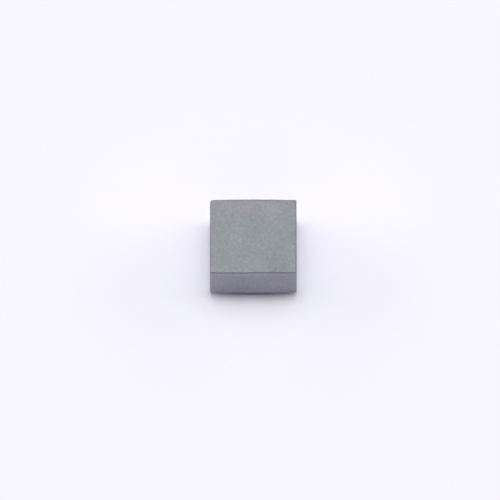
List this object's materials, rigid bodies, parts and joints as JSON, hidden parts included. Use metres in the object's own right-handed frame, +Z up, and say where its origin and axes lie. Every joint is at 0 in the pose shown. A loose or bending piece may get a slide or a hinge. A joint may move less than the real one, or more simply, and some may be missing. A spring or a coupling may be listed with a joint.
{
  "type": "shielded power inductor",
  "caption": "Low square shielded power inductor for surface mounting, with a pressed grey magnetic body and flat tinned solder pads under its left and right sides.",
  "frame": {"origin": "centre of the part on the plane of its solder faces", "axes": "+Z up out of the board, +X towards the right terminal, +Y towards the back, where the wire's tails come down"},
  "size_m": [0.004, 0.004, 0.0019],
  "materials": {
    "pressed_composite": "matte grey pressed iron-alloy powder and resin, finely granular, with slightly polished edges",
    "core_composite": "matte dark grey pressed iron-alloy powder, finely granular",
    "enamelled_copper": "copper flat wire under clear amber enamel",
    "tinned_copper": "satin tin plating over copper"
  },
  "bodies": {
    "root": {"shell": "pressed_composite", "t_core": "core_composite", "winding": "enamelled_copper", "terminal_left": "tinned_copper", "terminal_right": "tinned_copper"}
  },
  "joints": []
}
